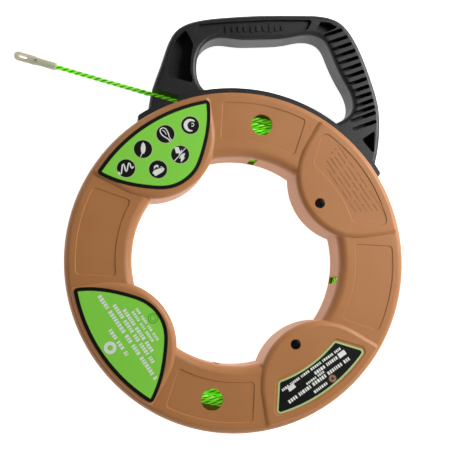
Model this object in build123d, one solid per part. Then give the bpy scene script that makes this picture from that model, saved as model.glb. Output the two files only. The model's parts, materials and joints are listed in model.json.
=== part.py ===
from build123d import *
import math
import os

os.makedirs("parts", exist_ok=True)

# Fish tape reel lying flat: Z is the reel axis, the rear face rests on z = 0,
# +Y points to the carrying handle. All sizes in mm.

# case, moulded in two halves that meet at mid depth
case_turn = -10.4          # turn of the case from its own axes, degrees
case_radius = 152.5
case_depth = 50.0          # over the four raised lobes
ring_drop = 2.0            # the ring between the lobes sits this much lower
hole_radius = 93.4
lobe_arc_radius = 57.5     # inner edge of a lobe, an arc about lobe_arc_centre
lobe_arc_centre = 134.7
wall = 3.0
hub_wall = 2.0
rim_gap = 9.0              # open slot round the rim between the two halves
outer_edge_radius = 6.0
inner_edge_radius = 8.0
lip_wall = 1.1            # ring of the rear half that centres the front half
lobe_edge_radius = 5.5
pocket_depth = 43.0
mid = case_depth / 2

# raised lobe, shallow panels and windows
lobe_outer = 148.5
panel_depth = 0.8
panel_slope = 40.0         # lean of the panel borders, degrees from upright
panel_outer = 142.0
panel_inner = 108.2
panel_outer_half_angle = 15.7
panel_inner_half_angle = 18.2
recess_outer = 141.5
recess_inner = 111.0
window_radius = 9.6
window_place = 124.4

# screws through the lobes
screw_place = 90.8
screw_head_radius = 4.1
screw_shank_radius = 2.0
screw_length = 34.0
boss_radius = 5.2

# snap slots in the hub wall
snap_width = 6.0
snap_height = 30.0

# labels
label_thickness = 0.25
leaf_outer = 145.9
leaf_half_angle = 24.4

# handle: one ribbed moulding that slides round the rim
handle_depth = 32.0
foot_inner = 152.8
foot_outer = 157.2
foot_start = 30.6          # degrees
foot_end = 125.3
neck_depth = 8.4
flange_inner = 144.2
flange_outer = 149.2
flange_depth = 20.0
web_depth = 8.0
rib_count = 14
rib_slot_width = 3.6

# tape: round twisted polyester
tape_radius = 2.38
coil_inner = 96.6
coil_outer = 125.3
coil_bottom = 5.5
coil_top = 44.5
last_layer_outer = 130.1
last_layer_bottom = 32.0
lead_offset = 127.8        # distance of the straight lead from the reel axis
lead_angle = 165.1         # direction in which the tape leaves
lead_start = -6.0          # along the lead, from its nearest point to the axis
lead_end = 225.0
bore_radius = 3.0
outlet_place = 113.6

# leader moulded on the tape end
tip_start = 202.5
tip_end = 241.8
tip_radius = 3.7
tip_head_half_width = 4.2
tip_thickness = 5.6
pin_place = 221.6
pin_radius = 1.0

# anchor of the inner tape end
anchor_lobe = 225.0
anchor_height = 37.2
sleeve_radius = 3.2


def at_angle(radius, degrees):
    a = math.radians(degrees)
    return (radius * math.cos(a), radius * math.sin(a))


def sector(inner, outer, start, end, height, bottom):
    """Ring sector as a solid, angles in degrees."""
    middle = (start + end) / 2
    edges = [
        ThreePointArc(at_angle(outer, start), at_angle(outer, middle), at_angle(outer, end)),
        Line(at_angle(outer, end), at_angle(inner, end)),
        ThreePointArc(at_angle(inner, end), at_angle(inner, middle), at_angle(inner, start)),
        Line(at_angle(inner, start), at_angle(outer, start)),
    ]
    return Pos(0, 0, bottom) * extrude(make_face(edges), height)


def panel_face(inner, outer, inner_half, outer_half, corner):
    """Four-sided panel on the ring, centred on the +X axis, with rounded corners."""
    a = at_angle(outer, -outer_half)
    b = at_angle(outer, outer_half)
    c = at_angle(inner, inner_half)
    d = at_angle(inner, -inner_half)
    edges = [
        ThreePointArc(a, (outer, 0), b),
        Line(b, c),
        ThreePointArc(c, (inner, 0), d),
        Line(d, a),
    ]
    face = make_face(edges)
    return fillet(face.vertices(), corner)


def leaf_face(shrink):
    """Leaf-shaped label on a lobe, centred on the +X axis."""
    outer = leaf_outer - shrink
    corner = at_angle(outer, leaf_half_angle)
    upper = [(118.0, 51.3), (106.8, 41.6), (98.9, 33.1), (92.5, 25.3), (87.4, 17.6), (84.2, 9.1)]
    lower = [(x, -y) for x, y in reversed(upper)]
    side = upper + [(83.1, 0.0)] + lower
    edges = [
        ThreePointArc((corner[0], -corner[1]), (outer, 0), corner),
        Spline(corner, *side, (corner[0], -corner[1])),
    ]
    face = make_face(edges)
    return fillet(face.vertices(), 3.5)


def lobe_half(slot_angles, has_recess):
    """One case half as if it were the front one, before it is turned in place."""
    top = case_depth - ring_drop
    rim_bottom = mid + rim_gap / 2
    oe = outer_edge_radius
    ie = inner_edge_radius
    s = math.sqrt(0.5)
    # ring section, revolved
    path = [
        Line((case_radius, rim_bottom), (case_radius, top - oe)),
        ThreePointArc(
            (case_radius, top - oe),
            (case_radius - oe + oe * s, top - oe + oe * s),
            (case_radius - oe, top),
        ),
        Line((case_radius - oe, top), (hole_radius + ie, top)),
        ThreePointArc(
            (hole_radius + ie, top),
            (hole_radius + ie - ie * s, top - ie + ie * s),
            (hole_radius, top - ie),
        ),
        Line((hole_radius, top - ie), (hole_radius, mid)),
        Line((hole_radius, mid), (hole_radius + hub_wall, mid)),
        Line((hole_radius + hub_wall, mid), (hole_radius + hub_wall, top - ie + 1)),
        Line((hole_radius + hub_wall, top - ie + 1), (hole_radius + hub_wall + 1.9, top - wall)),
        Line((hole_radius + hub_wall + 1.9, top - wall), (case_radius - oe - 1, top - wall)),
        Line((case_radius - oe - 1, top - wall), (case_radius - wall, top - oe - 1)),
        Line((case_radius - wall, top - oe - 1), (case_radius - wall, rim_bottom)),
        Line((case_radius - wall, rim_bottom), (case_radius, rim_bottom)),
    ]
    section = make_face([Plane.XZ * edge for edge in path])
    half = revolve(section, Axis.Z, 360)
    cavity_height = top - wall
    for index in range(4):
        angle = 45 + 90 * index
        half = half + Rot(0, 0, angle) * lobe_pad(cavity_height)
    for index in range(4):
        angle = 45 + 90 * index
        half = half + Rot(0, 0, angle) * Pos(screw_place, 0, mid) * Cylinder(
            boss_radius, case_depth - 4 - mid, align=(Align.CENTER, Align.CENTER, Align.MIN)
        )
    # panels, windows and the recesses on two lobes
    for index in range(4):
        panel = panel_face(panel_inner, panel_outer, panel_inner_half_angle, panel_outer_half_angle, 3.0)
        dish = extrude(panel, 3, taper=-panel_slope)
        half = half - Rot(0, 0, 90 * index) * Pos(0, 0, top - panel_depth) * dish
    if has_recess:
        for angle in (90, 270):
            half = half - Rot(0, 0, angle) * Pos(window_place, 0, top - 4) * Cylinder(window_radius, 20)
        for angle in (45, 315):
            face = panel_face(recess_inner, recess_outer, 16.6, 21.6, 5.0)
            dish = extrude(face, 3, taper=-panel_slope)
            half = half - Rot(0, 0, angle) * Pos(0, 0, case_depth - panel_depth) * dish
    # snap slots through the hub wall
    for angle in slot_angles:
        slot = Pos(hole_radius + 1, 0, mid) * Box(12, snap_width, snap_height)
        half = half - Rot(0, 0, angle) * slot
    return half


def lobe_pad(cavity_height):
    """Raised lobe on the +X axis: it closes the round hole inwards."""
    r = lobe_arc_radius
    e = lobe_edge_radius
    s = math.sqrt(0.5)
    # the straight sides run out from the points where they touch the inner arc
    side = math.degrees(math.asin(r / lobe_arc_centre))
    reach = math.sqrt(lobe_arc_centre ** 2 - r ** 2)
    start = at_angle(reach, side)
    end = at_angle(lobe_outer, side)
    outline = [
        ThreePointArc((start[0], -start[1]), (lobe_arc_centre - r, 0), start),
        Line(start, end),
        ThreePointArc(end, (lobe_outer, 0), (end[0], -end[1])),
        Line((end[0], -end[1]), (start[0], -start[1])),
    ]
    face = make_face(outline)
    face = fillet(face.vertices().group_by(Axis.X)[-1], 5.0)
    pad = extrude(face, case_depth - mid)
    pad = fillet(pad.edges().group_by(Axis.Z)[-1], 1.9)
    pad = Pos(0, 0, mid) * pad
    # soft round over along the inner arc and both sides
    path = [
        ThreePointArc(
            (r, case_depth - e),
            (r - e + e * s, case_depth - e + e * s),
            (r - e, case_depth),
        ),
        Line((r - e, case_depth), (r - e, case_depth + 5)),
        Line((r - e, case_depth + 5), (r + 5, case_depth + 5)),
        Line((r + 5, case_depth + 5), (r + 5, case_depth - e)),
        Line((r + 5, case_depth - e), (r, case_depth - e)),
    ]
    arc_tool = revolve(make_face([Plane.XZ * edge for edge in path]), Axis.Z, 360)
    a = math.radians(side)
    along = Plane(
        origin=(lobe_arc_centre, 0, 0),
        x_dir=(-math.sin(a), math.cos(a), 0),
        z_dir=(math.cos(a), math.sin(a), 0),
    )
    side_tool = extrude(along * make_face(path), 50, dir=along.z_dir)
    beyond = Rot(0, 0, side) * Pos(50, 0, 50) * Box(100, 300, 120)
    arc_tool = arc_tool - beyond - mirror(beyond, Plane.XZ)
    arc_tool = Pos(lobe_arc_centre, 0, 0) * arc_tool
    pad = pad - arc_tool - side_tool - mirror(side_tool, Plane.XZ)
    # hollow below: the tape room and the pocket in front of the hub
    room = Cylinder(case_radius - wall, 2 * (cavity_height - mid)) - Cylinder(hole_radius + hub_wall, 100)
    pad = pad - Pos(0, 0, mid) * room
    lens = Pos(lobe_arc_centre, 0) * Circle(lobe_arc_radius - hub_wall) & Circle(hole_radius)
    pad = pad - Pos(0, 0, mid) * extrude(lens, pocket_depth - mid)
    return pad


def screw_solid(head_radius, shank_radius, length, head_height):
    """Pan-head screw with a cross recess, head up, underside of the head at z = 0."""
    head = Cylinder(head_radius, head_height, align=(Align.CENTER, Align.CENTER, Align.MIN))
    head = fillet(head.edges().group_by(Axis.Z)[-1], head_height * 0.45)
    cross = Box(head_radius * 1.1, head_radius * 0.26, 2.0) + Box(head_radius * 0.26, head_radius * 1.1, 2.0)
    head = head - Pos(0, 0, head_height) * cross
    shank = Cylinder(shank_radius, length - 2, align=(Align.CENTER, Align.CENTER, Align.MAX))
    point = Cone(shank_radius * 0.45, shank_radius, 2, align=(Align.CENTER, Align.CENTER, Align.MAX))
    return head + shank + Pos(0, 0, 2 - length) * point


turn = Rot(0, 0, case_turn)

# tail of the tape in the lobe pocket, in the frame of that lobe
tail_points = [(83.6, 6.6), (85.4, 17.0), (95.8, 24.0), (89.7, 42.0)]
post_place = (85.2, -9.8)
anchor_turn = Rot(0, 0, case_turn + anchor_lobe)

# front half
front = lobe_half((0, 90, 180, 270), True)
for index in range(4):
    place = Rot(0, 0, 45 + 90 * index) * Pos(screw_place, 0, 0)
    front = front - place * Pos(0, 0, case_depth) * Cylinder(screw_head_radius + 0.5, 5.6)
    front = front - place * Pos(0, 0, mid) * Cylinder(screw_shank_radius + 0.25, 60)
front_case = turn * front

# rear half: the same moulding turned over, with a locating lip and the anchor post
rear = lobe_half((0, 90, 180, 270), False)
for index in range(4):
    place = Rot(0, 0, 45 + 90 * index) * Pos(screw_place, 0, mid)
    rear = rear - place * Cylinder(screw_shank_radius + 0.1, 2 * (pocket_depth - mid))
rear = Rot(180, 0, 0) * Pos(0, 0, -case_depth) * rear
lip = Cylinder(hole_radius + hub_wall + lip_wall, 7) - Cylinder(hole_radius + hub_wall + 0.2, 8)
lip = Pos(0, 0, mid - 0.5) * lip
joint_ring = Cylinder(hole_radius + hub_wall + lip_wall, 3) - Cylinder(hole_radius + 1, 4)
lip = lip + Pos(0, 0, mid - 2.5) * joint_ring
for index in range(4):
    lip = lip - Rot(0, 0, 90 * index) * Pos(hole_radius + 1, 0, mid) * Box(12, snap_width, snap_height)
    lip = lip - Rot(0, 0, 45 + 90 * index) * Pos(screw_place, 0, mid) * Cylinder(
        boss_radius + 0.3, 20, align=(Align.CENTER, Align.CENTER, Align.MIN)
    )
rear = rear + lip
rear_case = turn * rear
post = Pos(post_place[0], post_place[1], case_depth - pocket_depth - 1) * Cylinder(
    3.4, anchor_height - 0.8 - (case_depth - pocket_depth - 1), align=(Align.CENTER, Align.CENTER, Align.MIN)
)
post = post - Pos(post_place[0], post_place[1], anchor_height - 6) * Cylinder(1.3, 14)
rear_case = rear_case + anchor_turn * post
tail_slot = extrude(
    Pos(91.4, 21.4) * Rot(0, 0, 38.0) * Rectangle(16, 9.2),
    40,
)
tail_cut = anchor_turn * Pos(0, 0, mid - 2) * tail_slot
front_case = front_case - (tail_cut & Pos(0, 0, 34.5) * Box(400, 400, 15.4))

# four case screws
screws = []
for index in range(4):
    place = turn * Rot(0, 0, 45 + 90 * index) * Pos(screw_place, 0, case_depth - 2.8)
    screws.append(place * screw_solid(screw_head_radius, screw_shank_radius, screw_length, 2.6))
case_screws = Compound(children=screws)

# handle outline at mid depth, from the left end of the foot over the grip to the right end
outline = [
    (-79.4, 136.8), (-78.3, 145.9), (-76.2, 155.0), (-70.2, 172.9), (-65.6, 187.1), (-61.0, 200.0),
    (-55.4, 209.0), (-46.0, 215.8), (-34.4, 219.7), (-10.2, 223.7), (31.4, 227.4), (62.0, 228.6),
    (84.4, 228.0), (98.6, 222.8), (108.6, 212.0), (119.4, 190.8), (128.5, 165.4), (134.1, 143.2),
    (135.0, 126.0), (133.6, 107.9), (130.2, 90.8),
]
body_edges = [
    Spline(*outline),
    Line(outline[-1], (60, 40)),
    Line((60, 40), (-40, 70)),
    Line((-40, 70), outline[0]),
]
body_face = make_face(body_edges)
opening = [
    (-28.4, 154.8), (-34.2, 162.8), (-36.2, 174.0), (-35.0, 185.8), (-29.2, 197.0), (-18.2, 203.6),
    (0.0, 203.4), (23.8, 204.0), (47.9, 206.4), (68.2, 210.0), (81.2, 206.2), (89.5, 192.0),
    (99.7, 170.0), (108.4, 152.4), (108.4, 139.4), (96.6, 129.0), (60.0, 119.0), (0.0, 129.0),
]
opening_face = make_face([Spline(*opening, periodic=True)])
opening_face = opening_face - Circle(foot_outer)
body_face = body_face - Circle(foot_inner)
body = Pos(0, 0, mid - handle_depth / 2) * extrude(body_face - opening_face, handle_depth)
rim_edges = []
for edge in body.edges():
    low = edge.bounding_box().min.Z
    high = edge.bounding_box().max.Z
    flat = high - low < 0.01
    away = math.hypot(edge.center().X, edge.center().Y) > foot_outer + 8
    if flat and away and edge.length > 40:
        rim_edges.append(edge)
body = fillet(rim_edges, 4.0)
foot = sector(foot_inner, foot_outer, foot_start, foot_end, handle_depth, mid - handle_depth / 2)
ends = foot.edges().filter_by(Axis.Z)
ends = [edge for edge in ends if math.hypot(edge.center().X, edge.center().Y) > foot_outer - 1]
foot = fillet(ends, 4.0)
neck = sector(flange_outer - 1, foot_inner + 1, foot_start, foot_end, neck_depth, mid - neck_depth / 2)
flange = sector(
    flange_inner, flange_outer, foot_start, foot_end, flange_depth, mid - flange_depth / 2
)
handle = body + foot + neck + flange

# pockets on both faces: grip, left leg, corner and the small triangle
cut = (handle_depth - web_depth) / 2
grip_pocket = [
    (-37.0, 215.2), (-29.0, 208.2), (20.0, 208.4), (58.0, 212.0), (67.0, 214.8), (72.0, 224.0),
    (34.0, 222.6), (-5.0, 219.2),
]
left_pocket = [
    (-46.5, 210.4), (-39.4, 197.0), (-41.6, 184.0), (-42.0, 172.0), (-39.0, 160.8), (-66.6, 166.6),
    (-60.6, 186.0), (-54.6, 202.0),
]
corner_pocket = [
    (79.2, 222.6), (88.0, 222.0), (95.4, 218.2), (94.0, 217.0), (86.4, 213.4), (80.0, 211.0), (75.6, 212.4),
    (76.0, 216.0),
]
side_pocket = [(116.6, 112.4), (129.6, 121.0), (128.4, 99.0)]
pockets = [
    (grip_pocket, 3.5, 2.0), (left_pocket, cut, 2.0), (corner_pocket, 9.0, 0.9), (side_pocket, cut, 1.2),
]
for points, depth, corner in pockets:
    shape = Polyline(*points, close=True)
    face = make_face(shape)
    face = fillet(face.vertices(), corner)
    block = extrude(face, depth + 5)
    handle = handle - Pos(0, 0, mid + handle_depth / 2 - depth) * block
    handle = handle - Pos(0, 0, mid - handle_depth / 2 - 5) * block

# slanted slots between the ribs of the right leg
slot_left = [
    (82.0, 209.0), (86.0, 202.2), (89.4, 195.8), (92.4, 189.2), (95.4, 182.8), (98.4, 176.4), (101.6, 170.0),
    (105.2, 163.6), (108.6, 157.0), (110.8, 150.4), (111.6, 143.4), (109.6, 136.2), (106.6, 129.0),
    (108.6, 121.4),
]
slot_length = [19.1, 20.4, 20.7, 21.1, 21.0, 20.7, 20.0, 18.7, 17.5, 17.3, 18.2, 21.7, 25.9, 24.3]
slot_slope = 21.0
for index in range(rib_count):
    x, y = slot_left[index]
    length = slot_length[index]
    bar = Rot(0, 0, slot_slope) * Pos(length / 2, 0) * SlotOverall(length, rib_slot_width)
    block = extrude(Pos(x, y) * bar, cut + 5)
    handle = handle - Pos(0, 0, mid + handle_depth / 2 - cut) * block
    handle = handle - Pos(0, 0, mid - handle_depth / 2 - 5) * block

# tape channel: a bore through the foot that opens to the front as a trough
lead_turn = Rot(0, 0, lead_angle)
lead_line = lead_turn * Pos(0, -lead_offset, mid)
bore = lead_line * Pos(60, 0, 0) * Rot(0, 90, 0) * Cylinder(
    bore_radius, 90, align=(Align.CENTER, Align.CENTER, Align.MIN)
)
trough = lead_line * Pos(89.0, 1.2, 0) * Box(
    50, 7.2, 40, align=(Align.MIN, Align.CENTER, Align.MIN)
)
mouth = lead_line * Pos(110.0, 0, 0) * Rot(0, 90, 0) * Cone(
    3.0, 5.0, 8, align=(Align.CENTER, Align.CENTER, Align.MIN)
)
handle = handle - bore - trough - mouth

# tape wound in the case: the outer shape of the winding, with its tail to the anchor
coil = Cylinder(coil_outer, coil_top - coil_bottom) - Cylinder(coil_inner, 100)
coil = chamfer(coil.edges().filter_by(GeomType.CIRCLE).sort_by(SortBy.RADIUS)[:2], 2.4)
coil = Pos(0, 0, (coil_top + coil_bottom) / 2) * coil
last = Cylinder(last_layer_outer, coil_top - last_layer_bottom) - Cylinder(coil_outer - 1, 100)
coil = coil + Pos(0, 0, (coil_top + last_layer_bottom) / 2) * last
tail_path = FilletPolyline(*tail_points, radius=9)
tail = sweep(Plane(origin=tail_path @ 0, z_dir=tail_path % 0) * Circle(tape_radius), tail_path)
tape_coil = coil + anchor_turn * Pos(0, 0, anchor_height) * tail

# anchor ferrule on the inner tape end, with a lug on the post
first, second = tail_points[:2]
direction = Vector(second[0] - first[0], second[1] - first[1], 0).normalized()
sleeve_plane = Plane(origin=(first[0], first[1], anchor_height), z_dir=direction)
sleeve = sleeve_plane * Cylinder(sleeve_radius, 6.5, align=(Align.CENTER, Align.CENTER, Align.MIN))
sleeve = sleeve - sleeve_plane * Cylinder(tape_radius + 0.05, 30)
end_block = sleeve_plane * Cylinder(sleeve_radius, 1.6, align=(Align.CENTER, Align.CENTER, Align.MAX))
lug = Pos(82.9, -2.2, anchor_height) * Box(4.2, 16.6, 1.5)
lug = lug + Pos(post_place[0], post_place[1], anchor_height) * Cylinder(4.2, 1.5)
lug = lug - (sleeve_plane * Cylinder(tape_radius + 0.05, 12, align=(Align.CENTER, Align.CENTER, Align.MIN)))
anchor = sleeve + end_block + lug
anchor = anchor - Pos(post_place[0], post_place[1], anchor_height) * Cylinder(1.6, 4)
tape_anchor = anchor_turn * anchor
lug_screw = Pos(post_place[0], post_place[1], anchor_height + 0.8) * screw_solid(2.8, 1.25, 8, 1.8)
anchor_screw = anchor_turn * lug_screw

# straight tape lead from the winding to the leader
lead_length = lead_end - lead_start
tape_lead = lead_line * Pos(lead_start, 0, 0) * Rot(0, 90, 0) * Cylinder(
    tape_radius, lead_length, align=(Align.CENTER, Align.CENTER, Align.MIN)
)

# moulded leader: round at the tape, flattened to a rounded eye
tip_length = tip_end - tip_start
barrel = Pos(tip_start, 0, 0) * Rot(0, 90, 0) * Cylinder(
    tip_radius, tip_length - 14, align=(Align.CENTER, Align.CENTER, Align.MIN)
)
barrel = chamfer(barrel.edges().group_by(Axis.X)[0], 0.6)
head_face = Pos(tip_end - 11.5, 0) * SlotOverall(23, 2 * tip_head_half_width)
head = Pos(0, 0, -tip_thickness / 2) * extrude(head_face, tip_thickness)
head = fillet(head.edges().filter_by(Plane.XY), 2.2)
tip = barrel + head
eye = Pos(tip_end - 8.6, 0, -10) * extrude(SlotOverall(8.0, 2.6), 20)
tip = tip - eye
tape_bore = Pos(tip_start - 1, 0, 0) * Rot(0, 90, 0) * Cylinder(
    tape_radius + 0.05, lead_end - tip_start + 1.2, align=(Align.CENTER, Align.CENTER, Align.MIN)
)
tip = tip - tape_bore
tip = tip - Pos(pin_place, 0, 0) * Cylinder(pin_radius + 0.02, 20)
tape_tip = lead_line * tip
tape_lead = tape_lead - lead_line * Pos(pin_place, 0, 0) * Cylinder(pin_radius + 0.02, 20)
tip_pin = lead_line * Pos(pin_place, 0, 0) * Cylinder(pin_radius, 2 * tip_radius - 0.9)

# printed labels on the front
leaf = extrude(leaf_face(0), label_thickness)
label_upper_left = turn * Rot(0, 0, 135) * Pos(0, 0, case_depth) * leaf
label_lower_left = turn * Rot(0, 0, 225) * Pos(0, 0, case_depth) * leaf
plate_face = panel_face(recess_inner + 1.6, recess_outer - 1.2, 16.0, 20.6, 3.5)
label_lower_right = turn * Rot(0, 0, 315) * Pos(0, 0, case_depth - panel_depth) * extrude(
    plate_face, label_thickness
)

nodes = {
    "front_case": front_case,
    "rear_case": rear_case,
    "case_screws": case_screws,
    "handle": handle,
    "tape_coil": tape_coil,
    "tape_anchor": tape_anchor,
    "anchor_screw": anchor_screw,
    "tape_lead": tape_lead,
    "tape_tip": tape_tip,
    "tip_pin": tip_pin,
    "label_upper_left": label_upper_left,
    "label_lower_left": label_lower_left,
    "label_lower_right": label_lower_right,
}
for name in nodes:
    export_step(nodes[name], "parts/" + name + ".step")
    box = nodes[name].bounding_box()
    solids = len(nodes[name].solids())
    print(name, "solids", solids, "size", round(box.size.X, 1), round(box.size.Y, 1), round(box.size.Z, 1))
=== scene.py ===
import bpy
import json
import math
import random
import numpy as np
from mathutils import Matrix, Vector

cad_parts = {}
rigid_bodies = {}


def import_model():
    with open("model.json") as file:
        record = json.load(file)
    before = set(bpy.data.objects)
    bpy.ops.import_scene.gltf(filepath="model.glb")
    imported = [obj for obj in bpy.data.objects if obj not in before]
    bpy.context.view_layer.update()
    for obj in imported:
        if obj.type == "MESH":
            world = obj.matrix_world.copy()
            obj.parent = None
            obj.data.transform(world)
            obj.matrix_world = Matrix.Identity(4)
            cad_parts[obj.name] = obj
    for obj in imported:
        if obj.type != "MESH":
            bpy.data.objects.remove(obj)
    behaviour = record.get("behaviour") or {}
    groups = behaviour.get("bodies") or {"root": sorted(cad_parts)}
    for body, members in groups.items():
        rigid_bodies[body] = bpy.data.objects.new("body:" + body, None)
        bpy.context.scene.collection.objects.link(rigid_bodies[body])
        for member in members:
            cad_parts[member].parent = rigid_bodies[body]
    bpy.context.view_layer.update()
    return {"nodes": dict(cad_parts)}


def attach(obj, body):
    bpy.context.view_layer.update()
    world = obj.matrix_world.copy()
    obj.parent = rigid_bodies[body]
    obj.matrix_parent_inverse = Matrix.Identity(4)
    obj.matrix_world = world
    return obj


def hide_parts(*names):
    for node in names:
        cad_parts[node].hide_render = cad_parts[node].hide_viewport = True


# Fish tape reel, lying on its back with the printed face up.
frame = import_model()
nodes = frame["nodes"]
mm = 0.001
caseTurn = -10.4        # degrees the case is turned from its own axes
frontFace = 50.0        # height of the raised lobes above the floor, mm
midHeight = 25.0
panelDepth = 0.8        # how far the recessed panels lie below their rims, mm
print("frame loaded,", len(nodes), "nodes")


def toLinear(hexColor):
    channels = []
    for start in (0, 2, 4):
        value = int(hexColor[start:start + 2], 16) / 255
        channels.append(value / 12.92 if value <= 0.04045 else ((value + 0.055) / 1.055) ** 2.4)
    return (channels[0], channels[1], channels[2], 1.0)


def addNode(tree, kind, settings=None, links=None):
    node = tree.nodes.new(kind)
    for key, value in (settings or {}).items():
        if isinstance(key, int) or key in node.inputs:
            node.inputs[key].default_value = value
        else:
            setattr(node, key, value)
    for key, source in (links or {}).items():
        tree.links.new(source, node.inputs[key])
    return node


def startMaterial(name):
    material = bpy.data.materials.new(name)
    material.use_nodes = True
    tree = material.node_tree
    tree.nodes.clear()
    coords = addNode(tree, "ShaderNodeTexCoord").outputs["Object"]
    return material, tree, coords


def endMaterial(tree, settings, links):
    shader = addNode(tree, "ShaderNodeBsdfPrincipled", settings, links)
    addNode(tree, "ShaderNodeOutputMaterial", None, {"Surface": shader.outputs[0]})


def deselectAll():
    for item in bpy.context.view_layer.objects:
        item.select_set(False)


def makeActive(item):
    deselectAll()
    item.select_set(True)
    bpy.context.view_layer.objects.active = item


def paint(item, *materials):
    item.data.materials.clear()
    for material in materials:
        item.data.materials.append(material)


def rotated(x, y, degrees):
    a = math.radians(degrees)
    return (x * math.cos(a) - y * math.sin(a), x * math.sin(a) + y * math.cos(a))


# camera
cameraValues = {
    "place": (-0.111, -0.0444, 0.8382),
    "target": (-0.0113, 0.0309, 0.048),
    "lens": 71.95,
}
bpy.ops.object.camera_add(location=cameraValues["place"])
camera = bpy.context.active_object
camera.name = "camera"
lookAlong = Vector(cameraValues["target"]) - Vector(cameraValues["place"])
across = lookAlong.cross(Vector((0, 1, 0))).normalized()
upward = across.cross(lookAlong).normalized()
camera.rotation_euler = Matrix((across, upward, -lookAlong.normalized())).transposed().to_euler()
camera.data.lens = cameraValues["lens"]
camera.data.sensor_width = 36
camera.data.clip_start = 0.01
bpy.context.scene.view_settings.view_transform = "Standard"
bpy.context.scene.camera = camera
print("camera set")

# materials
# ABS case halves, injection moulded: warm tan, satin, fine spark-eroded grain
caseFinish = {
    "light": "C88A54", "dark": "B97945", "mottle": 45, "grain": 1.3, "grainDepth": 0.09,
    "roughness": (0.40, 0.52),
}
mouldedAbs, tree, coords = startMaterial("mouldedAbsTan")
mottle = addNode(
    tree, "ShaderNodeTexNoise",
    {"Scale": 1000 / caseFinish["mottle"], "Detail": 3.0},
    {"Vector": coords},
)
color = addNode(
    tree, "ShaderNodeMix",
    {"data_type": "RGBA", 6: toLinear(caseFinish["dark"]), 7: toLinear(caseFinish["light"])},
    {0: mottle.outputs[0]},
)
grain = addNode(
    tree, "ShaderNodeTexNoise",
    {"Scale": 1000 / caseFinish["grain"], "Detail": 2.0},
    {"Vector": coords},
)
bump = addNode(
    tree, "ShaderNodeBump",
    {"Strength": 0.35, "Distance": caseFinish["grainDepth"] * mm},
    {"Height": grain.outputs[0]},
)
shine = addNode(
    tree, "ShaderNodeMapRange",
    {"To Min": caseFinish["roughness"][0], "To Max": caseFinish["roughness"][1]},
    {"Value": grain.outputs[0]},
)
endMaterial(
    tree,
    {"IOR": 1.53},
    {"Base Color": color.outputs[2], "Roughness": shine.outputs[0], "Normal": bump.outputs[0]},
)

# glass-filled nylon, moulded: near black, satin, faint pale speckle of fibre
handleFinish = {"base": "1E1E1F", "speckle": "343436", "speck": 1.3, "patch": 18, "roughness": (0.36, 0.5)}
filledNylon, tree, coords = startMaterial("glassFilledNylonBlack")
speck = addNode(
    tree, "ShaderNodeTexNoise",
    {"Scale": 1000 / handleFinish["speck"], "Detail": 3.0},
    {"Vector": coords},
)
speckMask = addNode(
    tree, "ShaderNodeMapRange",
    {"From Min": 0.5, "From Max": 0.75},
    {"Value": speck.outputs[0]},
)
color = addNode(
    tree, "ShaderNodeMix",
    {"data_type": "RGBA", 6: toLinear(handleFinish["base"]), 7: toLinear(handleFinish["speckle"])},
    {0: speckMask.outputs[0]},
)
bump = addNode(
    tree, "ShaderNodeBump",
    {"Strength": 0.3, "Distance": 0.04 * mm},
    {"Height": speck.outputs[0]},
)
patches = addNode(
    tree, "ShaderNodeTexNoise",
    {"Scale": 1000 / handleFinish["patch"], "Detail": 2.0},
    {"Vector": coords},
)
shine = addNode(
    tree, "ShaderNodeMapRange",
    {"To Min": handleFinish["roughness"][0], "To Max": handleFinish["roughness"][1]},
    {"Value": patches.outputs[0]},
)
endMaterial(
    tree,
    {"IOR": 1.53},
    {"Base Color": color.outputs[2], "Roughness": shine.outputs[0], "Normal": bump.outputs[0]},
)

# twisted polyester strands, extruded: neon green, smooth, a little light passes into them; they carry
# painted shade in the grooves between strands and a painted glow
tapeFinish = {
    "light": "A2FF3A", "dark": "62E422", "paintedGrooveShade": "1A7008", "streak": 5.0, "roughness": 0.26, "glow": 0.36,
}
polyester, tree, coords = startMaterial("twistedPolyesterGreen")
streak = addNode(
    tree, "ShaderNodeTexNoise",
    {"Scale": 1000 / tapeFinish["streak"], "Detail": 2.0},
    {"Vector": coords},
)
color = addNode(
    tree, "ShaderNodeMix",
    {"data_type": "RGBA", 6: toLinear(tapeFinish["dark"]), 7: toLinear(tapeFinish["light"])},
    {0: streak.outputs[0]},
)
crown = addNode(tree, "ShaderNodeAttribute", {"attribute_name": "crown"})
depth = addNode(
    tree, "ShaderNodeMapRange",
    {"From Min": 0.05, "From Max": 0.8, "interpolation_type": "SMOOTHSTEP"},
    {"Value": crown.outputs["Fac"]},
)
# painted shade: the colour is mixed toward a dark green where the crown mask is low, in the grooves between
# the strands
shaded = addNode(
    tree, "ShaderNodeMix",
    {"data_type": "RGBA", 6: toLinear(tapeFinish["paintedGrooveShade"])},
    {0: depth.outputs[0], 7: color.outputs[2]},
)
# painted glow: the tape emits its own shaded colour at the glow strength, so it looks brighter than the
# light falling on it
endMaterial(
    tree,
    {
        "Roughness": tapeFinish["roughness"], "IOR": 1.57, "Subsurface Weight": 0.12,
        "Subsurface Radius": (0.0012, 0.002, 0.0006), "Subsurface Scale": 1.0,
        "Emission Strength": tapeFinish["glow"],
    },
    {"Base Color": shaded.outputs[2], "Emission Color": shaded.outputs[2]},
)

# natural nylon leader, moulded: milky and translucent, the tape shows faintly through it
leaderFinish = {"light": "EFEBD8", "dark": "E2DCC2", "cloud": 7.0, "roughness": 0.3}
naturalNylon, tree, coords = startMaterial("naturalNylonMilky")
cloud = addNode(
    tree, "ShaderNodeTexNoise",
    {"Scale": 1000 / leaderFinish["cloud"], "Detail": 2.0},
    {"Vector": coords},
)
color = addNode(
    tree, "ShaderNodeMix",
    {"data_type": "RGBA", 6: toLinear(leaderFinish["dark"]), 7: toLinear(leaderFinish["light"])},
    {0: cloud.outputs[0]},
)
endMaterial(
    tree,
    {
        "Roughness": leaderFinish["roughness"], "IOR": 1.53, "Transmission Weight": 0.3,
        "Subsurface Weight": 0.3, "Subsurface Radius": (0.003, 0.003, 0.002), "Subsurface Scale": 1.0,
    },
    {"Base Color": color.outputs[2]},
)

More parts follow.
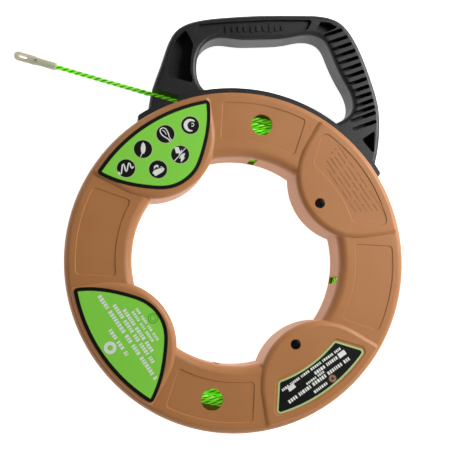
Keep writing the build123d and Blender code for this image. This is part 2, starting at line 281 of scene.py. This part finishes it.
# dyed nylon cross pin: olive, plain
pinFinish = {"light": "8B9640", "dark": "6F7A2C", "cloud": 1.2, "roughness": 0.45}
pinNylon, tree, coords = startMaterial("dyedNylonOlive")
cloud = addNode(tree, "ShaderNodeTexNoise", {"Scale": 1000 / pinFinish["cloud"]}, {"Vector": coords})
color = addNode(
    tree, "ShaderNodeMix",
    {"data_type": "RGBA", 6: toLinear(pinFinish["dark"]), 7: toLinear(pinFinish["light"])},
    {0: cloud.outputs[0]},
)
endMaterial(tree, {"Roughness": pinFinish["roughness"]}, {"Base Color": color.outputs[2]})

# carbon steel screws, black oxide: dark satin with small paler spots painted on as glints
screwFinish = {"base": "1B1B1C", "paintedGlint": "3F3F41", "spot": 1.6, "metallic": 0.8, "roughness": 0.34}
blackOxide, tree, coords = startMaterial("blackOxideSteel")
paintedGlint = addNode(
    tree, "ShaderNodeTexNoise",
    {"Scale": 1000 / screwFinish["spot"], "Detail": 3.0},
    {"Vector": coords},
)
paintedGlintMask = addNode(
    tree, "ShaderNodeMapRange",
    {"From Min": 0.55, "From Max": 0.75},
    {"Value": paintedGlint.outputs[0]},
)
# painted highlight: paler spots mixed in by the glint mask stand for glints on the screw heads
color = addNode(
    tree, "ShaderNodeMix",
    {"data_type": "RGBA", 6: toLinear(screwFinish["base"]), 7: toLinear(screwFinish["paintedGlint"])},
    {0: paintedGlintMask.outputs[0]},
)
endMaterial(
    tree,
    {"Metallic": screwFinish["metallic"], "Roughness": screwFinish["roughness"]},
    {"Base Color": color.outputs[2]},
)

# zinc plated steel for the inner anchor: pale grey, slightly patchy
zincFinish = {"light": "C7C8C6", "dark": "A9ABAC", "patch": 2.5, "roughness": (0.28, 0.42)}
zincSteel, tree, coords = startMaterial("zincPlatedSteel")
patches = addNode(
    tree, "ShaderNodeTexNoise",
    {"Scale": 1000 / zincFinish["patch"], "Detail": 2.0},
    {"Vector": coords},
)
color = addNode(
    tree, "ShaderNodeMix",
    {"data_type": "RGBA", 6: toLinear(zincFinish["dark"]), 7: toLinear(zincFinish["light"])},
    {0: patches.outputs[0]},
)
shine = addNode(
    tree, "ShaderNodeMapRange",
    {"To Min": zincFinish["roughness"][0], "To Max": zincFinish["roughness"][1]},
    {"Value": patches.outputs[0]},
)
endMaterial(tree, {"Metallic": 1.0}, {"Base Color": color.outputs[2], "Roughness": shine.outputs[0]})


# printed vinyl film: flat colour under a clear film, with a very fine print grain
def printedFilm(name, light, dark):
    material, tree, coords = startMaterial(name)
    dots = addNode(tree, "ShaderNodeTexNoise", {"Scale": 1000 / 1.4, "Detail": 2.0}, {"Vector": coords})
    color = addNode(
        tree, "ShaderNodeMix",
        {"data_type": "RGBA", 6: toLinear(dark), 7: toLinear(light)},
        {0: dots.outputs[0]},
    )
    bump = addNode(
        tree, "ShaderNodeBump",
        {"Strength": 0.08, "Distance": 0.02 * mm},
        {"Height": dots.outputs[0]},
    )
    endMaterial(
        tree,
        {"Roughness": 0.36, "IOR": 1.5},
        {"Base Color": color.outputs[2], "Normal": bump.outputs[0]},
    )
    return material


filmGreen = printedFilm("printedVinylGreen", "98F056", "8CE64A")
# painted shade for the dip in the lower left label over the screw
paintedDipShade = printedFilm("paintedDipShadeGreen", "6CC43C", "64BA36")
filmBlack = printedFilm("printedVinylBlack", "0F0F0E", "070707")
inkWhite = printedFilm("printedInkWhite", "FFFFFF", "F0F5EA")
inkPale = printedFilm("printedInkPaleGreen", "C9E3A0", "BCD98E")
inkCopper = printedFilm("printedInkCopper", "B08A70", "9A7459")
print("materials ready")

# carried-over solids
for name in ("front_case", "rear_case"):
    paint(nodes[name], mouldedAbs)
paint(nodes["handle"], filledNylon)
paint(nodes["case_screws"], blackOxide)
paint(nodes["tape_anchor"], zincSteel)
paint(nodes["anchor_screw"], zincSteel)
paint(nodes["tape_tip"], naturalNylon)
paint(nodes["tip_pin"], pinNylon)
print("solids painted")

# twisted tape
tapeValues = {
    "radius": 2.38,
    "twist": 18.0,             # length of one full twist
    "strandRadius": 1.12,
    "valley": 1.25,            # the grooves between the strands are no deeper than this radius
    "leadOffset": 127.8,
    "leadAngle": 165.1,
    "leadStart": -6.0,
    "leadEnd": 225.0,
    "firstLayer": 99.0,
    "layerStep": 4.79,
    "pitch": 4.9,
    "layerTurns": (6, 7, 7, 7, 7, 7, 1.572),
    "lowTurn": 7.9,
    "highTurn": 42.1,
    "pointsPerTurn": 24,
    "looseness": 2.6,
    "tailLobe": 225.0,
    "tailHeight": 37.3,
}


def routeLine(name, points, resolution):
    # one smooth open spline through the route, read back as a line of points
    curve = bpy.data.curves.new(name, "CURVE")
    curve.dimensions = "3D"
    curve.resolution_u = resolution
    spline = curve.splines.new("NURBS")
    spline.points.add(len(points) - 1)
    for point, place in zip(spline.points, points):
        point.co = (place[0] * mm, place[1] * mm, place[2] * mm, 1)
    spline.order_u = 3
    spline.use_endpoint_u = True
    holder = bpy.data.objects.new(name, curve)
    bpy.context.scene.collection.objects.link(holder)
    line = bpy.data.meshes.new_from_object(holder)
    found = np.empty(len(line.vertices) * 3)
    line.vertices.foreach_get("co", found)
    bpy.data.objects.remove(holder)
    return found.reshape(-1, 3)


def twistedMesh(name, line, startLength, values):
    # three strands laid together, swept along the line with their twist
    step = np.linalg.norm(np.diff(line, axis=0), axis=1)
    length = np.concatenate([[0], np.cumsum(step)]) + startLength
    tangent = np.gradient(line, axis=0)
    tangent /= np.linalg.norm(tangent, axis=1)[:, None]
    side = np.cross(tangent, (0, 0, 1))
    side /= np.linalg.norm(side, axis=1)[:, None]
    up = np.cross(side, tangent)
    rs = values["strandRadius"] * mm
    centre = values["radius"] * mm - rs
    angles = []
    radii = []
    for strand in range(3):
        for offset in (-60, -30, 0, 30):
            a = math.radians(offset)
            inside = max(rs * rs - (centre * math.sin(a)) ** 2, 0)
            angles.append(a + strand * math.tau / 3)
            radii.append(max(centre * math.cos(a) + math.sqrt(inside), values["valley"] * mm))
    angles = np.array(angles)
    radii = np.array(radii)
    count = len(angles)
    turned = angles[None, :] + (length * math.tau / (values["twist"] * mm))[:, None]
    points = line[:, None, :] + radii[None, :, None] * (
        np.cos(turned)[:, :, None] * side[:, None, :] + np.sin(turned)[:, :, None] * up[:, None, :]
    )
    rings = len(line)
    verts = np.concatenate([points.reshape(-1, 3), line[:1], line[-1:]])
    faces = []
    for ring in range(rings - 1):
        low = ring * count
        high = low + count
        for k in range(count):
            n = (k + 1) % count
            faces.append((low + k, low + n, high + n, high + k))
    first = rings * count
    for k in range(count):
        n = (k + 1) % count
        faces.append((first, k + 1 if n else 0, k) if n else (first, 0, k))
        faces.append((first + 1, (rings - 1) * count + k, (rings - 1) * count + n))
    mesh = bpy.data.meshes.new(name)
    mesh.from_pydata(verts.tolist(), [], faces)
    mesh.update()
    # 1 on the backs of the strands, 0 in the grooves between them; the tape colour uses it to paint shade
    # into the grooves
    back = (radii - radii.min()) / (radii.max() - radii.min())
    crown = mesh.attributes.new("crown", "FLOAT", "POINT")
    crown.data.foreach_set("value", np.concatenate([np.tile(back, rings), [1, 1]]))
    piece = bpy.data.objects.new(name, mesh)
    bpy.context.scene.collection.objects.link(piece)
    makeActive(piece)
    bpy.ops.object.mode_set(mode="EDIT")
    bpy.ops.mesh.select_all(action="SELECT")
    bpy.ops.mesh.normals_make_consistent(inside=False)
    bpy.ops.object.mode_set(mode="OBJECT")
    bpy.ops.object.shade_smooth()
    paint(piece, polyester)
    return piece


def easeStep(value):
    value = min(max(value, 0), 1)
    return value * value * (3 - 2 * value)


# the whole winding: tail at the anchor, six full layers and the start of a seventh
v = tapeValues
lobeTurn = caseTurn + v["tailLobe"]
tail = [(83.6, 6.6), (84.4, 11.4), (85.2, 16.6), (90.4, 20.4), (95.4, 24.2), (95.0, 31.5)]
windingPoints = []
for x, y in tail:
    px, py = rotated(x, y, lobeTurn)
    windingPoints.append((px, py, v["tailHeight"]))
startAngle = lobeTurn + 26.0
endAngle = v["leadAngle"] - 90 - math.degrees(math.atan(-v["leadStart"] / v["leadOffset"]))
totalTurns = sum(v["layerTurns"])
totalTurns = math.floor(totalTurns) + ((endAngle - startAngle) / 360) % 1
ends = np.cumsum(v["layerTurns"])
ends[-1] = totalTurns
swell = 1 / math.cos(math.pi / v["pointsPerTurn"]) ** 0.75    # the spline cuts a little inside its points
steps = int(totalTurns * v["pointsPerTurn"])
layerStarts = []
for index in range(steps + 1):
    turn = totalTurns * index / steps
    layer = int(np.searchsorted(ends, turn, side="right"))
    layer = min(layer, len(ends) - 1)
    inLayer = turn - (ends[layer - 1] if layer else 0)
    radius = v["firstLayer"] + v["layerStep"] * layer
    if layer:
        radius -= v["layerStep"] * (1 - easeStep(inLayer / 0.2))
    travel = inLayer * v["pitch"]
    if layer == 0:
        height = v["tailHeight"] - travel
    elif layer % 2:
        height = v["lowTurn"] + travel
    else:
        height = v["highTurn"] - travel
    if layer == len(ends) - 1:
        left = totalTurns - turn
        height = midHeight + (height - midHeight) * easeStep(left / 0.3)
        radius += (v["leadOffset"] + 0.14 - radius) * (1 - easeStep(left / 0.1))
    if len(layerStarts) <= layer:
        layerStarts.append(len(windingPoints))
    # the outer turns stand off a little under the upper window
    facing = max(math.cos(math.radians(startAngle + 360 * turn - 79.6)), 0) ** 6
    radius += v["looseness"] * max(layer - 2, 0) / 4 * facing * easeStep((height - 31) / 5)
    px, py = rotated(radius * swell, 0, startAngle + 360 * turn)
    windingPoints.append((px, py, height))
# inner layers hide behind the outer ones, so they carry fewer rings
split = layerStarts[4]
innerLine = routeLine("innerTurns", windingPoints[:split + 1], 11)
outerLine = routeLine("outerTurns", windingPoints[split:], 18)
innerTurns = twistedMesh("tapeInnerTurns", innerLine, 0, v)
outerTurns = twistedMesh("tapeOuterTurns", outerLine, 0, v)
for piece in (innerTurns, outerTurns):
    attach(piece, "case")
    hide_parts("tape_coil")
windingLength = sum(np.linalg.norm(np.diff(line, axis=0), axis=1).sum() for line in (innerLine, outerLine))
faceCounts = [len(piece.data.polygons) for piece in (innerTurns, outerTurns)]
print("winding", round(windingLength, 2), "m,", *faceCounts, "faces")

# straight lead from the winding through the handle to the leader
leadPoints = []
for along in (v["leadStart"], 12, 45, 80, 115, 150, 185, 210, v["leadEnd"]):
    px, py = rotated(along, -v["leadOffset"], v["leadAngle"])
    leadPoints.append((px, py, midHeight))
leadLine = routeLine("lead", leadPoints, 24)
lead = twistedMesh("tapeLead", leadLine, 0, v)
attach(lead, "tape_end")
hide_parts("tape_lead")


# flat shapes for print and moulded marks
def flatShape(name, outlines, low, high, material):
    # outlines in mm; the first is the edge, any others are holes in it
    curve = bpy.data.curves.new(name, "CURVE")
    curve.dimensions = "2D"
    curve.fill_mode = "BOTH"
    for outline in outlines:
        spline = curve.splines.new("POLY")
        spline.points.add(len(outline) - 1)
        for point, place in zip(spline.points, outline):
            point.co = (place[0] * mm, place[1] * mm, 0, 1)
        spline.use_cyclic_u = True
    curve.extrude = (high - low) / 2 * mm
    piece = bpy.data.objects.new(name, curve)
    piece.location.z = (high + low) / 2 * mm
    bpy.context.scene.collection.objects.link(piece)
    makeActive(piece)
    bpy.ops.object.convert(target="MESH")
    piece = bpy.context.active_object
    bpy.ops.object.transform_apply(location=True, rotation=True, scale=True)
    bpy.ops.object.mode_set(mode="EDIT")
    bpy.ops.mesh.select_all(action="SELECT")
    bpy.ops.mesh.remove_doubles(threshold=0.000001)
    bpy.ops.mesh.normals_make_consistent(inside=False)
    bpy.ops.object.mode_set(mode="OBJECT")
    paint(piece, material)
    return piece


def circle(x, y, radius, count=32):
    return [
        (x + radius * math.cos(math.tau * k / count), y + radius * math.sin(math.tau * k / count))
        for k in range(count)
    ]


def stroke(points, width):
    # outline of a line of even width through the points
    left = []
    right = []
    for k, (x, y) in enumerate(points):
        before = points[max(k - 1, 0)]
        after = points[min(k + 1, len(points) - 1)]
        dx = after[0] - before[0]
        dy = after[1] - before[1]
        size = math.hypot(dx, dy)
        left.append((x - dy / size * width / 2, y + dx / size * width / 2))
        right.append((x + dy / size * width / 2, y - dx / size * width / 2))
    return left + right[::-1]


def moved(points, x, y, turn=0):
    result = []
    for px, py in points:
        rx, ry = rotated(px, py, turn)
        result.append((rx + x, ry + y))
    return result


def rectangle(x, y, wide, tall):
    # its corners in turn, with its middle at x, y
    return [
        (x - wide / 2, y - tall / 2), (x + wide / 2, y - tall / 2),
        (x + wide / 2, y + tall / 2), (x - wide / 2, y + tall / 2),
    ]


def onLobe(lobe, u, w):
    # u out along the middle of a lobe, w across it
    return rotated(u, w, caseTurn + lobe)


def joined(name, parts, body, replaced=None):
    makeActive(parts[0])
    for part in parts[1:]:
        part.select_set(True)
    if len(parts) > 1:
        bpy.ops.object.join()
    piece = bpy.context.active_object
    piece.name = name
    piece.data.name = name
    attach(piece, body)
    if replaced:
        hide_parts(replaced)
    return piece


def filmBase(nodeName, border, borderMaterial, fieldMaterial):
    # copy of the label solid with its face inset, so the border is its own band
    source = nodes[nodeName]
    piece = bpy.data.objects.new(nodeName + "_film", source.data.copy())
    bpy.context.scene.collection.objects.link(piece)
    paint(piece, borderMaterial, fieldMaterial)
    makeActive(piece)
    bpy.ops.object.mode_set(mode="EDIT")
    bpy.ops.mesh.select_all(action="SELECT")
    bpy.ops.mesh.remove_doubles(threshold=0.000001)
    bpy.ops.mesh.dissolve_limited(angle_limit=math.radians(1))
    bpy.ops.mesh.select_all(action="DESELECT")
    bpy.ops.object.mode_set(mode="OBJECT")
    top = max(vert.co.z for vert in piece.data.vertices)
    for face in piece.data.polygons:
        face.select = face.normal.z > 0.9 and face.center.z > top - 0.00001
        face.material_index = 0
    bpy.ops.object.mode_set(mode="EDIT")
    bpy.ops.mesh.inset(thickness=border * mm, depth=0)
    bpy.context.object.active_material_index = 1
    bpy.ops.object.material_slot_assign()
    bpy.ops.object.mode_set(mode="OBJECT")
    return piece


def dashRow(lobe, u, start, end, height, pick, gap, sizes):
    # short bars in groups, standing for a line of print
    outlines = []
    at = start
    left = pick.randint(3, 8)
    while at < end:
        length = min(pick.uniform(*sizes), end - at)
        if length > 0.8:
            corners = rectangle(u, at + length / 2, height, length)
            outlines.append([onLobe(lobe, a, b) for a, b in corners])
        at += length + gap
        left -= 1
        if left == 0:
            at += 2.2 * gap
            left = pick.randint(3, 8)
    return outlines


filmThickness = 0.25
labelTop = frontFace + filmThickness
plateTop = labelTop - panelDepth    # the lower right label lies in a recess
ink = 0.03              # thickness of one printed layer, drawn thick enough to keep the layers apart
sunk = 0.05             # how far print starts below the face of the film
border = 3.2            # black edge of the two green labels
lobes = {"upperRight": 45, "lowerLeft": 225, "lowerRight": 315}

# upper left label: six round pictograms
pictograms = {
    "radius": 8.6, "ring": 0.6,
    "moon": (-42.9, 119.7), "loop": (-64.9, 111.2), "leaf": (-84.6, 97.2),
    "bolt": (-51.7, 93.1), "wave": (-99.3, 79.8), "blocks": (-71.2, 79.4),
}
# each one is a list of outlines about its own middle, mm
shapes = {
    "moon": [
        [(5.8 * math.cos(math.radians(a)), 5.8 * math.sin(math.radians(a))) for a in range(40, 291, 10)]
        + [
            (1.5 + 3.9 * math.cos(math.radians(a)), -0.3 + 4.1 * math.sin(math.radians(a)))
            for a in range(280, 59, -10)
        ],
        stroke([(1.0, 1.6), (2.6, 2.0), (3.4, 0.6), (2.6, -0.8), (1.0, -0.8)], 0.9),
    ],
    "loop": [
        stroke([
            (-4.9, 2.4), (-4.3, 4.6), (-2.2, 5.6), (0.2, 4.8), (1.8, 2.4), (3.0, -0.6), (3.4, -2.6),
        ], 1.0),
        stroke([(-4.9, 2.6), (-4.0, 0.4), (-2.2, -1.6), (0.2, -3.2), (2.2, -4.2), (4.6, -6.6)], 1.0),
        stroke([(3.4, -2.4), (4.4, -4.2), (6.0, -5.6)], 0.8),
        stroke([(-2.8, 3.4), (-0.8, 2.2), (0.8, -0.4)], 0.7),
    ],
    "leaf": [
        [
            (-0.9, -4.4), (0.9, -4.0), (2.1, -1.4), (2.3, 1.6), (1.6, 4.4), (0.2, 6.4), (-1.2, 4.6),
            (-2.0, 1.4), (-1.9, -2.0),
        ],
        stroke([(-2.2, -7.2), (-1.6, -5.4), (-0.8, -3.6)], 0.8),
    ],
    "bolt": [
        [
            (-5.2, 6.2), (-1.6, 6.9), (0.2, 2.6), (1.6, 4.9), (1.2, 0.9), (-1.2, -0.6), (-1.0, 1.2),
            (-3.6, 0.9),
        ],
        [
            (1.8, 0.7), (4.6, 1.6), (3.2, -3.0), (4.6, -2.6), (0.6, -7.2), (0.6, -3.4), (-1.0, -3.8),
            (0.4, -0.9),
        ],
        stroke([(-5.2, -6.0), (-1.8, -2.2), (1.6, 2.2), (4.8, 5.8)], 0.7),
    ],
    "wave": [
        stroke([
            (-6.6, -3.2), (-5.4, -5.6), (-4.2, -4.8), (-3.6, -1.0), (-3.4, 2.6), (-2.4, 3.8), (-1.4, 1.8),
            (-0.6, -1.8), (0.2, -3.0), (1.0, -1.6), (1.6, 2.6), (2.4, 5.0), (3.4, 4.2), (4.2, 1.2),
            (5.0, 0.0), (6.6, 1.8),
        ], 1.2),
    ],
    "blocks": [
        [(-5.0, -3.4), (-2.0, -6.0), (4.4, -2.2), (3.4, 1.4), (0.4, 0.6), (-3.6, -1.0)],
        [(-3.6, 0.0), (-1.6, 2.2), (0.4, 1.6), (0.2, 3.8), (-1.6, 4.2), (-3.8, 2.4)],
        [(1.2, 1.8), (3.0, 2.8), (5.6, 0.8), (5.2, -1.4), (3.8, -1.6), (3.6, 1.8)],
    ],
}
parts = [filmBase("label_upper_left", border, filmBlack, filmGreen)]
for name in ("moon", "loop", "leaf", "bolt", "wave", "blocks"):
    x, y = pictograms[name]
    r = pictograms["radius"]
    parts.append(flatShape(name + "Ring", [circle(x, y, r)], labelTop - sunk, labelTop + ink, inkPale))
    disc = circle(x, y, r - pictograms["ring"])
    parts.append(flatShape(name + "Disc", [disc], labelTop - sunk, labelTop + 2 * ink, filmBlack))
    for outline in shapes[name]:
        mark = moved(outline, x, y)
        parts.append(flatShape(name + "Mark", [mark], labelTop - sunk, labelTop + 3 * ink, inkWhite))
joined("labelUpperLeft", parts, "case", "label_upper_left")

# lower left label: a ring mark and rows of bars
pick = random.Random(4)
parts = [filmBase("label_lower_left", border, filmBlack, filmGreen)]
rows = [
    (126.8, -13.0, 13.5, 3.4, (1.2, 2.4), 0.9), (118.1, -42.5, 45.0, 3.6, (1.3, 2.4), 0.9),
    (112.0, -28.7, 32.9, 3.3, (1.2, 2.2), 0.85), (107.2, -20.5, 23.4, 3.3, (1.2, 2.2), 0.85),
    (102.0, -14.9, 18.7, 2.4, (0.9, 1.8), 0.75), (97.8, -15.2, 19.3, 2.4, (0.9, 1.8), 0.75),
]
for u, start, end, height, sizes, gap in rows:
    for outline in dashRow(lobes["lowerLeft"], u, start, end, height, pick, gap, sizes):
        parts.append(flatShape("bar", [outline], labelTop - sunk, labelTop + ink, inkWhite))
x, y = onLobe(lobes["lowerLeft"], 135.3, 0)
rings = [circle(x, y, 5.4), circle(x, y, 2.4)]
parts.append(flatShape("ringMark", rings, labelTop - sunk, labelTop + ink, inkWhite))
# painted shade: darker green rings stand for the shade where the film dips a little over the screw below it
x, y = onLobe(lobes["lowerLeft"], 90.8, 0)
for outer, inner in ((4.6, 3.5), (2.6, 1.9)):
    rings = [circle(x, y, outer), circle(x, y, inner)]
    parts.append(flatShape("dipShadeRing", rings, labelTop - sunk, labelTop + ink / 2, paintedDipShade))
joined("labelLowerLeft", parts, "case", "label_lower_left")

# lower right label: pale border, black field, bars
parts = [filmBase("label_lower_right", 1.6, inkPale, filmBlack)]
rows = [
    (116.8, -33.0, 32.0, 2.3, (0.8, 1.7), 0.6), (121.6, -0.5, 24.3, 3.0, (0.9, 1.9), 0.65),
    (128.6, -34.0, 33.0, 3.2, (1.1, 2.2), 0.75), (134.7, -10.4, 6.0, 2.6, (1.0, 2.0), 0.65),
    (124.9, -12.0, 8.0, 2.0, (0.8, 1.6), 0.6),
]
for u, start, end, height, sizes, gap in rows:
    for outline in dashRow(lobes["lowerRight"], u, start, end, height, pick, gap, sizes):
        parts.append(flatShape("bar", [outline], plateTop - sunk, plateTop + ink, inkWhite))
for u, w, across, along in ((121.7, 29.6, 4.6, 7.4), (119.4, -24.6, 4.4, 7.0)):
    corners = [onLobe(lobes["lowerRight"], a, b) for a, b in rectangle(u, w, across, along)]
    parts.append(flatShape("block", [corners], plateTop - sunk, plateTop + ink, inkWhite))
x, y = onLobe(lobes["lowerRight"], 134.5, 10.2)
rings = [circle(x, y, 3.4), circle(x, y, 1.1)]
parts.append(flatShape("ringMark", rings, plateTop - sunk, plateTop + ink, inkCopper))
joined("labelLowerRight", parts, "case", "label_lower_right")
print("labels printed")

# moulded marks in the upper right recess: rows of low bars in the case plastic
recessFloor = frontFace - panelDepth
markValues = {
    "rows": 6, "first": 137.0, "rowStep": 4.3, "half": 38, "taper": 2.6, "barHeight": 2.4, "gap": 1.3,
    "sizes": (1.0, 2.2), "below": 0.1, "above": 0.55,
}
parts = []
for row in range(markValues["rows"]):
    u = markValues["first"] - markValues["rowStep"] * row
    half = markValues["half"] - markValues["taper"] * row
    bars = dashRow(
        lobes["upperRight"], u, -half, half,
        markValues["barHeight"], pick, markValues["gap"], markValues["sizes"],
    )
    low = recessFloor - markValues["below"]
    high = recessFloor + markValues["above"]
    for outline in bars:
        parts.append(flatShape("mark", [outline], low, high, mouldedAbs))
joined("mouldedMarks", parts, "case")
print("marks moulded")

# raised bars on the floor of the grip pocket, in the handle plastic
gripBars = {
    "floor": 37.5, "below": 0.3, "height": 0.9, "size": (3.7, 5.8), "step": 5.8, "count": 10,
    "start": (-8.0, 212.4), "slope": 3.8,
}
parts = []
for index in range(gripBars["count"]):
    along = gripBars["step"] * index
    px = gripBars["start"][0] + along
    py = gripBars["start"][1] + along * math.tan(math.radians(gripBars["slope"]))
    wide, tall = gripBars["size"]
    tall *= 1.15 if index in (0, 4, 7) else 0.85
    wide *= 0.8 if index % 3 == 1 else 1.0
    outline = moved(rectangle(0, 0, wide, tall), px, py, gripBars["slope"])
    low = gripBars["floor"] - gripBars["below"]
    high = gripBars["floor"] + gripBars["height"]
    parts.append(flatShape("gripBar", [outline], low, high, filledNylon))
joined("gripMarks", parts, "handle")
print("grip marks raised")

# floor and light
floorValues = {"size": 60, "height": -0.0002, "color": "EDEDEB", "glow": 0.95}
bpy.ops.mesh.primitive_plane_add(size=floorValues["size"], location=(0, 0, floorValues["height"]))
floor = bpy.context.active_object
floor.name = "floor"
# pale light table: an opal sheet lit from below, so hardly any shadow is left on it
paperFloor, tree, coords = startMaterial("opalSheetPale")
tooth = addNode(tree, "ShaderNodeTexNoise", {"Scale": 900.0, "Detail": 2.0}, {"Vector": coords})
bump = addNode(tree, "ShaderNodeBump", {"Strength": 0.05, "Distance": 0.0001}, {"Height": tooth.outputs[0]})
endMaterial(tree, {
    "Base Color": toLinear(floorValues["color"]), "Roughness": 0.9,
    "Emission Color": (1, 1, 1, 1), "Emission Strength": floorValues["glow"],
}, {"Normal": bump.outputs[0]})
paint(floor, paperFloor)

world = bpy.data.worlds.new("softRoom")
bpy.context.scene.world = world
world.use_nodes = True
# white walls round the table and a dark ceiling, so edges that face sideways catch light
roomValues = {"wall": 1.0, "ceiling": 0.03, "wallTop": 0.5}
roomTree = world.node_tree
direction = addNode(roomTree, "ShaderNodeTexCoord").outputs["Generated"]
rise = addNode(roomTree, "ShaderNodeSeparateXYZ", None, {0: direction}).outputs["Z"]
fade = addNode(roomTree, "ShaderNodeMapRange", {
    "From Min": 0.0, "From Max": roomValues["wallTop"],
    "To Min": roomValues["wall"], "To Max": roomValues["ceiling"],
    "interpolation_type": "SMOOTHSTEP",
}, {"Value": rise})
background = roomTree.nodes["Background"]
background.inputs["Color"].default_value = (1, 1, 1, 1)
roomTree.links.new(fade.outputs[0], background.inputs["Strength"])

lights = {
    "key": {"place": (0.8, 0.4, 0.72), "size": 0.6, "energy": 12.0},
    "fill": {"place": (-1.2, 0.5, 1.2), "size": 1.0, "energy": 1.4},
    "low": {"place": (0.2, -1.4, 0.9), "size": 1.0, "energy": 3},
}
for name, values in lights.items():
    bpy.ops.object.light_add(type="AREA", location=values["place"])
    light = bpy.context.active_object
    light.name = name
    light.data.size = values["size"]
    light.data.energy = values["energy"]
    light.rotation_euler = (Vector((0, 0.03, 0.03)) - light.location).to_track_quat("-Z", "Y").to_euler()
print("stage lit")
